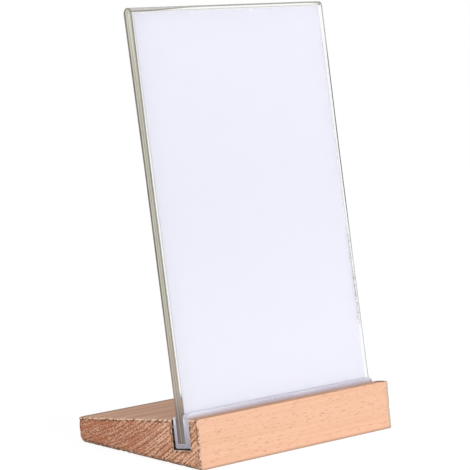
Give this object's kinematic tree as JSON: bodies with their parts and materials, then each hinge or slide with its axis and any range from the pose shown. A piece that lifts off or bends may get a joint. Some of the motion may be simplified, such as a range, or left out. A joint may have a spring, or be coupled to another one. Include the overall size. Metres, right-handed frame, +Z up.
{
  "type": "acrylic sign holder",
  "caption": "Tabletop sign and photo holder: a clear folded acrylic sleeve with a blank insert leans in a frosted channel set in the slot of a wedge-shaped wooden block.",
  "frame": {"origin": "middle of the block's footprint, on the surface that the holder stands on", "axes": "+Z up, -Y is the front that the sign faces, +X to the viewer's right"},
  "size_m": [0.1054, 0.0641, 0.1618],
  "materials": {
    "wood": "fine sanded, unlacquered, sawn end grain",
    "frosted_plastic": "frosted",
    "clear_acrylic": "clear, polished",
    "card": "smooth, blank"
  },
  "bodies": {
    "block": {"wooden_block": "wood"},
    "channel": {"u_channel": "frosted_plastic"},
    "sleeve": {"folded_sleeve": "clear_acrylic"},
    "insert": {"insert_sheet": "card"}
  },
  "joints": [
    {"name": "channel_lift", "type": "slide", "parent": "block", "child": "channel", "axis": [0, 0.1788, 0.9839], "range_m": [0, 0.014]},
    {"name": "sleeve_lift", "type": "slide", "parent": "channel", "child": "sleeve", "axis": [0, 0.2028, 0.9792], "range_m": [0, 0.012]},
    {"name": "insert_slide", "type": "slide", "parent": "sleeve", "child": "insert", "axis": [1, 0, 0], "range_m": [-0.104, 0.104]}
  ]
}
